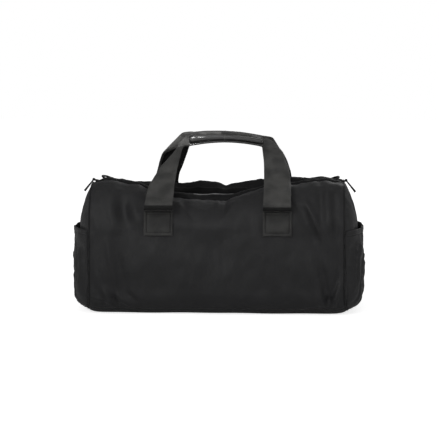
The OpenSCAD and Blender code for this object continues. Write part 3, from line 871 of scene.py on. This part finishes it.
RING_WIRE = 1.8 * MM
RING_RADIUS = 14.3 * MM
RING_CORNER = 3.2 * MM
TAB_WIDTH = 20 * MM
TAB_CLOTH = 1.4 * MM
PULL_LONGER = 5 * MM
# A pull's eye, within this distance of its pin, keeps its size. The rest of the bar is this much thicker.
PULL_EYE = 6 * MM
PULL_THICKER = 0.6

def bevelled_copy(node, name, body, width, pin=None, longer=0.0):
    """A copy of a metal part with its edges rounded. A pull can be drawn longer, away from its pin."""
    work = bmesh.new()
    work.from_mesh(frame["nodes"][node].data)
    bmesh.ops.transform(work, matrix=frame["nodes"][node].matrix_world, verts=work.verts)
    bmesh.ops.remove_doubles(work, verts=work.verts, dist=1e-6)
    bmesh.ops.dissolve_limit(work, angle_limit=math.radians(2), verts=work.verts, edges=work.edges)
    bmesh.ops.recalc_face_normals(work, faces=work.faces)
    work.verts.index_update()
    points = np.array([v.co[:] for v in work.verts])
    faces = [[v.index for v in face.verts] for face in work.faces]
    work.free()
    if longer:
        reach = points - pin
        far = np.linalg.norm(reach, axis=1) > PULL_EYE
        tip = reach[np.argmax(np.linalg.norm(reach, axis=1))] * (1, 0, 1)
        tip /= np.linalg.norm(tip)
        flat = np.array([-tip[2], 0, tip[0]])
        points[far] += tip * longer + PULL_THICKER * (reach[far] @ flat)[:, None] * flat
    piece = make_mesh(name, points, faces)
    bevel = piece.modifiers.new("rounded", "BEVEL")
    bevel.width, bevel.segments, bevel.limit_method = width, 2, "ANGLE"
    bevel.angle_limit = math.radians(35)
    bevel.harden_normals = True
    finish_piece(piece, body, METAL, (node,))


def d_ring(sign):
    """Bent wire D-ring: a straight bar with a round bow, on the place the frame gives."""
    name = HAND_NAME[sign]
    hinge = joint(name + "_ring_swing")
    hub = np.array(hinge["pos_m"])
    bar = np.array(hinge["axis"])
    bar *= np.sign(bar[1])
    low, high = (np.array(v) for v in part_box(name + "_d_ring"))
    reach = 0.5 * (low + high) - hub
    out = reach - bar * (reach @ bar)
    out /= np.linalg.norm(out)
    half = RING_RADIUS - RING_CORNER

    def arc(first, last, count, middle, radius, rise):
        turns = np.linspace(first, last, count)
        return [(middle + radius * math.cos(a), RING_CORNER + rise * math.sin(a)) for a in turns]

    points = [(half * t, 0.0) for t in np.linspace(-1, 1, 14)[1:-1]]
    points += arc(-math.pi / 2, 0, 7, half, RING_CORNER, RING_CORNER)
    points += arc(0, math.pi, 34, 0.0, RING_RADIUS, half)[1:-1]
    points += arc(-math.pi, -math.pi / 2, 7, -half, RING_CORNER, RING_CORNER)
    path = [hub + bar * p + out * q for p, q in points][::sign]
    piece = tube(name + "_ring_wire", path, RING_WIRE, sides=14, closed=True)
    finish_piece(piece, name + "_ring", METAL, (name + "_d_ring",))
    return hub, bar


def ring_tab(sign, hub, bar):
    """Narrow webbing looped round the ring's bar, with both tails sewn down on the gusset."""
    name = HAND_NAME[sign]
    inward = np.cross(bar, (0, 0, 1.0))
    inward *= -sign * np.sign(inward[0])
    up = np.cross(inward, bar)
    up *= np.sign(up[2])
    turn = RING_WIRE + 1.0 * MM
    # The upper tail comes down to lie on the lower one.
    drop = 2 * turn - 1.75 * MM
    bend = np.linspace(0, math.pi, 14)[1:]
    profile = [inward * 20 * MM * (1 - t) - up * turn for t in np.linspace(0, 1, 8)]
    profile += [inward * -turn * math.sin(a) - up * turn * math.cos(a) for a in bend]
    for t in np.linspace(0, 1, 9)[1:]:
        profile.append(inward * 18.5 * MM * t + up * (turn - drop * smoothstep(0.0, 0.55, t)))
    profile = np.array(profile)
    across = np.linspace(-TAB_WIDTH / 2, TAB_WIDTH / 2, 9)
    grid = hub + profile[:, None] + bar * across[None, :, None]
    length = arc_lengths(profile)
    cloth = np.stack([np.tile(across, len(profile)), np.repeat(length, len(across))], -1)
    piece = make_sheet(name + "_tab_webbing", grid, cloth)
    finish_piece(piece, "bag", WEBBING, (name + "_ring_tab",), 1, TAB_CLOTH, 0)
    lines = []
    for shift in (5.0, 9.0, 15.0):
        middle = hub + inward * shift * MM + up * (turn - drop + 0.9 * MM)
        if shift < 9.0:
            middle = middle + up * 0.6 * MM
        ends = np.array([middle + bar * s * (TAB_WIDTH / 2 - 1.5 * MM) for s in np.linspace(-1, 1, 8)])
        lines.append((ends, np.tile(up, (8, 1))))
    thread = stitch_mesh(name + "_tab_stitches", lines, 2.2 * MM, 2.8 * MM, 0.3 * MM)
    finish_piece(thread, "bag", GREY_THREAD)


for sign in (-1, 1):
    name = HAND_NAME[sign]
    bevelled_copy(name + "_zipper_slider", name + "_slider_body", name + "_slider", 0.45 * MM)
    pin = np.array(joint(name + "_pull_swing")["pos_m"])
    bevelled_copy(name + "_zipper_pull", name + "_pull_bar", name + "_pull", 0.5 * MM, pin, PULL_LONGER)
    ring_tab(sign, *d_ring(sign))


# ---------------------------------------------------------------- handles

WEB_WIDTH = 50 * MM
WEB_THICK = 1.8 * MM
FOLD_RADIUS = 1.7 * MM
STRAP_STATIONS = 96
# The sloping line above which a left leg's outside is painted lighter, a painted highlight: a place (x, z)
# on it, and its rise.
HIGHLIGHT_LINE = (-104 * MM, 279 * MM)
HIGHLIGHT_RISE = 0.33
GROOVE = 1.2 * MM
GROOVE_WIDTH = 1.5 * MM
# Heights along a leg: sewn down from ANCHOR_Z to SEWN_Z, free at FREE_Z, creased, and leaning above LEAN_Z.
ANCHOR_Z, SEWN_Z, FREE_Z, CREASE_Z, LEAN_Z = 143 * MM, 184 * MM, 190 * MM, 196 * MM, 207 * MM
# Distance of a strap's middle layer from the skin where sewn, and from the middle plane where free.
SEWN_RISE = 3.3 * MM
FREE_Y = WALL_Y + 3.6 * MM
# The bulge over the crease, as pairs of (height, distance) in millimetres.
KNEE = [(143, 0.0), (184.5, 0.0), (187, 1.6), (195.5, 8.2), (199.5, 7.4), (207, 0.0)]


def skin_depth(x, z, side):
    """Distance of the outside of the wall from the middle plane."""
    hit = SKIN.ray_cast(Vector((x, side * 0.4, z)), Vector((0, -side, 0)))[0]
    return abs(hit[1])


# Both edges of each strap in the front view, from the anchor to the grip: inner x, z and outer x, z.
STRAPS = {
    (-1, -1): [
        (-76.5, 143, -126, 143), (-76.5, 184, -126, 184), (-75.4, 196, -124.4, 196),
        (-74.8, 212, -122, 212), (-74.4, 227, -119.2, 228), (-73.6, 243, -110, 244),
        (-71.8, 257, -101.5, 258.5), (-70.4, 265, -94.5, 266), (-67.9, 280, -80.5, 282),
        (-66.4, 287, -75, 290), (-64, 291, -71.5, 297), (-60, 292.2, -66, 304),
        (-55.5, 292.6, -59.5, 310), (-52, 293, -53, 312.2), (-42, 294.6, -42, 312.6),
    ],
    (-1, 1): [
        (82.0, 143, 131.5, 143), (82.2, 184, 131.7, 184), (82.4, 196, 131.2, 196),
        (82.7, 212, 130.2, 212), (82.7, 231, 129, 231), (82.3, 244, 127.5, 244),
        (81.8, 257, 124.8, 257.5), (81.3, 263, 121, 264), (80.6, 269, 117.8, 270.5),
        (79.2, 278, 115.2, 281.5), (77.9, 286, 106.5, 290.5), (77.3, 289, 99, 298),
        (77, 291, 92, 304.5), (76.2, 291.8, 84, 305.4), (71, 292.9, 73, 306),
    ],
    (1, -1): [
        (-79.5, 143, -129, 143), (-80.5, 184, -129, 184), (-82.5, 200, -127, 200),
        (-82, 222, -122.5, 224), (-77.5, 239, -119, 240), (-67.5, 260, -112, 260),
        (-60.5, 277, -104.6, 277.5), (-58.5, 282, -97, 285.5), (-56.5, 287, -85, 297.8),
        (-55, 290.5, -74.5, 308.5), (-53.8, 293, -67, 316), (-52, 295.5, -58, 316.9),
        (-46, 297, -48, 317.6),
    ],
    (1, 1): [
        (82.5, 143, 132, 143), (82.5, 184, 132, 184), (82.8, 200, 131, 200), (82.8, 240, 127.5, 240),
        (81, 262, 121.5, 262), (80, 274, 116, 275), (79.3, 282, 110.5, 283.5),
        (78.5, 288, 102.5, 296.5), (78, 291, 95.2, 308), (77.5, 293, 86, 309.3), (72, 294.8, 74, 310.8),
    ],
}
GRIP_LOW = {-1: [(-54, 292.4), (-20, 297.4), (10, 299.2), (45, 297), (80, 291.2)],
            1: [(-54, 296.5), (-20, 301), (10, 302.5), (45, 300.5), (80, 295)]}
GRIP_HIGH = {-1: [(-54, 312.2), (-20, 313.6), (10, 313.2), (45, 310.4), (80, 305.2)],
             1: [(-54, 317.0), (-20, 319.4), (10, 319.2), (45, 316.4), (80, 311)]}
GRIP_SPAN = (-54, 79)
GRIP_Y = 6.6 * MM
GRIP_BOW = 4.5 * MM
GRIP_BEAD = 2.1 * MM
STRAP_TOP_Z = {-1: 291 * MM, 1: 288 * MM}
STRAP_WAVE = 2.6 * MM


def strap_depth(x, z, side):
    """Distance of a strap's middle layer from the middle plane, at a place in the front view."""
    if z < LEAN_Z:
        skin = skin_depth(x, min(z, FREE_Z), side) + SEWN_RISE
        free = FREE_Y + smooth_curve(KNEE, z / MM) * MM
        return skin + (free - skin) * smoothstep(SEWN_Z, FREE_Z, z)
    top = GRIP_Y + 1.0 * MM
    t = (z - LEAN_Z) / (STRAP_TOP_Z[side] - LEAN_Z)
    bend = 0.06
    if t > 1 + bend:
        return top
    if t > 1 - bend:
        return top + (FREE_Y - top) * (1 + bend - t) ** 2 / (4 * bend)
    hand = 1 if x > 0 else -1
    wave = STRAP_WAVE * math.sin(t * 15 + hand * 0.9 + side) * math.sin(math.pi * t) ** 0.7
    return FREE_Y + (top - FREE_Y) * t + wave


def strap_edges(side):
    """Both edges of a whole strap in millimetres, from the left anchor over the grip to the right one."""
    halves = []
    for hand in (-1, 1):
        keys = np.array(STRAPS[(side, hand)], float)
        steps = 0.5 * (np.hypot(*np.diff(keys[:, :2], axis=0).T) + np.hypot(*np.diff(keys[:, 2:], axis=0).T))
        place = np.concatenate([[0], np.cumsum(steps)])
        t = np.linspace(0, place[-1], STRAP_STATIONS)
        halves.append(np.stack([np.interp(t, place, keys[:, k]) for k in range(4)], -1))
    left, right = halves[0], halves[1][::-1]
    x = np.linspace(left[-1, 0], right[0, 0], 30)[1:-1]
    inside = 2.5
    low, high = smooth_curve(GRIP_LOW[side], x) + inside, smooth_curve(GRIP_HIGH[side], x) - inside
    edges = np.concatenate([left, np.stack([x, low, x, high], -1), right])
    for _ in range(2):
        edges[1:-1] = 0.25 * edges[:-2] + 0.5 * edges[1:-1] + 0.25 * edges[2:]
    return edges


def strap_grid(side):
    """Points of a strap. Near the grip its outer edge is rolled back behind it."""
    edges = strap_edges(side) * MM
    across = np.linspace(0, WEB_WIDTH, 41)
    grid = np.zeros((len(edges), len(across), 3))
    for i, edge in enumerate(edges):
        inner, outward = edge[:2], edge[2:] - edge[:2]
        width = np.linalg.norm(outward)
        outward = outward / width
        flat = width - FOLD_RADIUS if width < WEB_WIDTH - 2.4 * MM else WEB_WIDTH
        for j, s in enumerate(across):
            if flat == WEB_WIDTH:
                reach, back = s * width / WEB_WIDTH, 0.0
            elif s <= flat:
                reach, back = s, 0.0
            elif s <= flat + math.pi * FOLD_RADIUS:
                turn = (s - flat) / FOLD_RADIUS
                reach = flat + FOLD_RADIUS * math.sin(turn)
                back = FOLD_RADIUS * (1 - math.cos(turn))
            else:
                reach = max(2 * flat + math.pi * FOLD_RADIUS - s, 1.0 * MM)
                back = 2 * FOLD_RADIUS
            x, z = inner + outward * reach
            grid[i, j] = x, side * (strap_depth(x, z, side) - back - stitch_groove(side, x, z)), z
    return grid


def stitch_lines(side, hand):
    """Lines of the box of stitches on an anchor, as pairs of (x, z) ends."""
    inner = STRAPS[(side, hand)][0][0] * MM
    near, far = inner + hand * 4.0 * MM, inner + hand * (WEB_WIDTH - 4.5 * MM)
    low, high = ANCHOR_Z + 5 * MM, SEWN_Z - 1 * MM
    across = [((near, z), (far, z)) for z in (low, high, high - 3.6 * MM)]
    return across + [((x, low), (x, high)) for x in (near, far)]


def stitch_groove(side, x, z):
    """How far the thread pulls the strap in at a place in the front view."""
    if z > SEWN_Z + 2 * MM:
        return 0.0
    lines = stitch_lines(side, -1 if x < 0 else 1)
    nearest = min(line_distance(x, z, *line)[0] for line in lines)
    return GROOVE * math.exp(-(nearest / GROOVE_WIDTH) ** 2)


def strap(side):
    """One handle's webbing, from anchor to anchor, bending between the bag and the handle."""
    name = SIDE_NAME[side]
    grid = strap_grid(side)
    rows, columns = grid.shape[:2]
    length = arc_lengths(grid.mean(axis=1))
    across = np.linspace(0, WEB_WIDTH, columns)
    cloth = np.stack([np.tile(across, rows), np.repeat(length, columns)], -1)
    piece = make_sheet(name + "_strap", grid, cloth, flip=side > 0)
    solid = piece.modifiers.new("thickness", "SOLIDIFY")
    solid.thickness, solid.offset, solid.material_offset = WEB_THICK, 0, 1
    bevel = piece.modifiers.new("edge", "BEVEL")
    bevel.width, bevel.segments = 0.5 * MM, 2
    bevel.limit_method, bevel.angle_limit = "ANGLE", math.radians(50)
    finish_piece(piece, None, WEBBING_PAINTED_SHADE, (name + "_handle_webbing",))
    # The slots are pairs: a face shows the pair's first material inside and its second outside. The
    # near-black inside is painted shade.
    plain, bent, sewn, creased = 0, 2, 4, 6
    for material in (WEBBING, WEBBING_PAINTED_HIGHLIGHT, WEBBING_PAINTED_HIGHLIGHT, WEBBING_PAINTED_SHADE, SEWN_WEBBING_PAINTED_SHADE,
                     WEBBING_PAINTED_SHADE, WEBBING_PAINTED_SHADE):
        piece.data.materials.append(material)
    x, height = grid[:-1, :-1, 0], grid[:-1, :-1, 2]
    # Above the line, a left leg takes the lighter webbing on both sides: a painted highlight.
    turned = (height > HIGHLIGHT_LINE[1] + HIGHLIGHT_RISE * (x - HIGHLIGHT_LINE[0])) & (x < 0)
    # Below the crease both sides are near-black: a painted shadow under the fold.
    choice = np.where(height < CREASE_Z, creased, np.where(turned, bent, plain))
    # Where sewn down, the outside takes the darker webbing, painted shade.
    choice = np.where(height < SEWN_Z + 3 * MM, sewn, choice)
    piece.data.polygons.foreach_set("material_index", choice.astype(np.int32).ravel())
    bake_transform(piece)


def anchor(side, hand):
    """The webbing's end, turned under the strap, with the box of stitches that holds both."""
    name = SIDE_NAME[side] + "_" + HAND_NAME[hand]
    inner = STRAPS[(side, hand)][0][0] * MM
    x = np.linspace(inner - hand * 0.5 * MM, inner + hand * (WEB_WIDTH + 0.3 * MM), 15)
    z = np.linspace(ANCHOR_Z - 1.2 * MM, SEWN_Z + 1.5 * MM, 16)
    grid = np.array([[(a, side * (skin_depth(a, b, side) + 1.1 * MM), b) for a in x] for b in z])
    cloth = np.stack([np.tile(np.abs(x - x[0]), len(z)), np.repeat(z, len(x))], -1)
    piece = make_sheet(name + "_anchor_web", grid, cloth, flip=(side < 0) != (hand > 0))
    # The turned-under end takes the darker webbing too: painted shade.
    finish_piece(piece, "bag", SEWN_WEBBING_PAINTED_SHADE, (name + "_anchor",), thickness=1.7 * MM, offset=0)
    lines = []
    rise = SEWN_RISE + WEB_THICK / 2 - GROOVE
    for (x0, z0), (x1, z1) in stitch_lines(side, hand):
        line = np.array([(x0 + (x1 - x0) * t, 0.0, z0 + (z1 - z0) * t) for t in np.linspace(0, 1, 20)])
        line[:, 1] = [side * (skin_depth(a, b, side) + rise) for a, _, b in line]
        lines.append((line, np.tile((0.0, side, 0.05), (20, 1))))
    thread = stitch_mesh(name + "_anchor_stitches", lines, 2.8 * MM, 3.2 * MM, 0.55 * MM)
    finish_piece(thread, "bag", THREAD)


def grip(side):
    """Leather sleeve, sewn closed along its lower edge over a round bead."""
    name = SIDE_NAME[side]
    first, last = GRIP_SPAN
    x = np.linspace(first, last, 90)
    low = smooth_curve(GRIP_LOW[side], x) * MM
    high = smooth_curve(GRIP_HIGH[side], x) * MM
    low_body = low + 2 * GRIP_BEAD - 0.4 * MM
    count = 40
    angle = np.linspace(0, 2 * math.pi, count, endpoint=False)
    depth = GRIP_Y + GRIP_BOW * (1 - ((2 * x - first - last) / (last - first)) ** 2)
    grid = np.zeros((len(x), count, 3))
    for i in range(len(x)):
        half = 0.5 * (high[i] - low_body[i])
        ends = 1 - 0.18 * (math.exp((first - x[i]) / 2.0) + math.exp((x[i] - last) / 2.0))
        up = signed_power(np.sin(angle), 0.8) * half
        pinch = 1 - 0.5 * smoothstep(-0.35, -1.0, np.sin(angle))
        out = signed_power(np.cos(angle), 0.85) * 5.7 * MM * pinch * ends
        grid[i, :, 0] = x[i] * MM
        grid[i, :, 1] = side * depth[i] - out
        grid[i, :, 2] = 0.5 * (high[i] + low_body[i]) + up * ends
    wrinkle = noise_field(grid.reshape(-1, 3) * (0.45, 1, 1), 130.0, 3, 4.0 + side).reshape(grid.shape[:2])
    centre = np.stack([x * MM, side * depth, 0.5 * (high + low_body)], -1)
    outward = grid - centre[:, None]
    outward /= np.linalg.norm(outward, axis=2, keepdims=True)
    grid += outward * wrinkle[..., None] * 0.35 * MM
    faces = list(grid_faces(len(x), count, closed=True))
    faces += [tuple(range(count))[::-1], tuple((len(x) - 1) * count + j for j in range(count))]
    piece = make_mesh(name + "_grip_leather", grid.reshape(-1, 3), faces)
    finish_piece(piece, name + "_handle", LEATHER, (name + "_grip",))
    path = np.stack([x * MM, side * (depth + 0.4 * MM), low + GRIP_BEAD], -1)
    bead = tube(name + "_grip_bead", path, GRIP_BEAD, sides=14)
    finish_piece(bead, name + "_handle", LEATHER)
    line = np.stack([x * MM, side * (depth + 4.3 * MM), low_body + 3.1 * MM], -1)
    lines = [(line[3:-3], np.tile((0.0, side, 0.25), (len(x) - 6, 1)))]
    for place in (2, -3):
        column = grid[place]
        outer = column[np.argsort(column[:, 2])]
        outer = outer[side * outer[:, 1] - depth[place] > 2.5 * MM]
        lines.append((outer + (0, side * 0.2 * MM, 0), np.tile((0.0, side, 0.0), (len(outer), 1))))
    thread = stitch_mesh(name + "_grip_stitches", lines, 2.4 * MM, 3.1 * MM, 0.3 * MM)
    finish_piece(thread, name + "_handle", THREAD)
    middle = int(np.argmin(np.abs(x - 10)))
    loop = grid[middle] + outward[middle] * 0.15 * MM
    seam = tube(name + "_grip_seam", loop, 0.45 * MM, sides=6, closed=True)
    finish_piece(seam, name + "_handle", GREY_THREAD)


for side in (-1, 1):
    strap(side)
    grip(side)
    for hand in (-1, 1):
        anchor(side, hand)


# ---------------------------------------------------------------- floor and light

FLOOR_GLOW = 0.75
# Direction the soft ambient light comes from, and its strength away from and towards that direction.
SOFTBOX = (0.0, -0.995, 0.1)
AMBIENT = (0.2, 0.93)
# Name, place and size in metres, and power in watts.
LAMPS = [
    ("top", (-0.3, -0.4, 2.4), 1.2, 5), ("key", (-1.15, -2.45, 1.45), 0.25, 21),
    ("fill", (2.3, -1.3, 1.0), 1.2, 7), ("back", (0.9, 2.4, 1.5), 1.5, 10),
]

def make_stage():
    bpy.ops.mesh.primitive_plane_add(size=14)
    floor = bpy.context.object
    floor.name = "floor"
    n = Nodes("floor", (0.8, 0.8, 0.8), 0.8, Specular_IOR_Level=0.1)
    n.shader.inputs["Emission Color"].default_value = (1.0, 1.0, 1.0, 1)
    seen = n.new("ShaderNodeLightPath").outputs["Is Camera Ray"]
    n.link(n.math("MULTIPLY", seen, FLOOR_GLOW), n.shader.inputs["Emission Strength"])
    floor.data.materials.append(n.material)

    # The sky is white to the camera, and lights the bag softly from the front and from above.
    world = bpy.data.worlds.new("studio")
    world.use_nodes = True
    tree = world.node_tree
    backdrop = tree.nodes["Background"]
    backdrop.inputs["Color"].default_value = (1.0, 1.0, 1.0, 1)
    backdrop.inputs["Strength"].default_value = 1.0
    direction = tree.nodes.new("ShaderNodeTexCoord")
    facing = tree.nodes.new("ShaderNodeVectorMath")
    facing.operation = "DOT_PRODUCT"
    facing.inputs[1].default_value = SOFTBOX
    shade = tree.nodes.new("ShaderNodeMapRange")
    shade.inputs["From Min"].default_value, shade.inputs["From Max"].default_value = -0.25, 1.0
    shade.inputs["To Min"].default_value, shade.inputs["To Max"].default_value = AMBIENT
    ambient = tree.nodes.new("ShaderNodeBackground")
    path = tree.nodes.new("ShaderNodeLightPath")
    mix = tree.nodes.new("ShaderNodeMixShader")
    for source, target in (
        (direction.outputs["Generated"], facing.inputs[0]), (facing.outputs["Value"], shade.inputs["Value"]),
        (shade.outputs[0], ambient.inputs["Strength"]), (path.outputs["Is Camera Ray"], mix.inputs[0]),
        (ambient.outputs[0], mix.inputs[1]), (backdrop.outputs[0], mix.inputs[2]),
        (mix.outputs[0], tree.nodes["World Output"].inputs["Surface"]),
    ):
        tree.links.new(source, target)
    bpy.context.scene.world = world

    for name, place, size, power in LAMPS:
        data = bpy.data.lights.new(name, "AREA")
        data.size, data.energy = size, power
        lamp = bpy.data.objects.new(name, data)
        lamp.location = place
        lamp.rotation_euler = (Vector((0, 0, 0.12)) - Vector(place)).to_track_quat("-Z", "Y").to_euler()
        bpy.context.scene.collection.objects.link(lamp)
    bpy.context.scene.view_settings.view_transform = "Standard"


make_stage()


# ---------------------------------------------------------------- finish of the base board

board = frame["nodes"]["base_board"]
for place in board.material_slots:
    place.material = BOARD
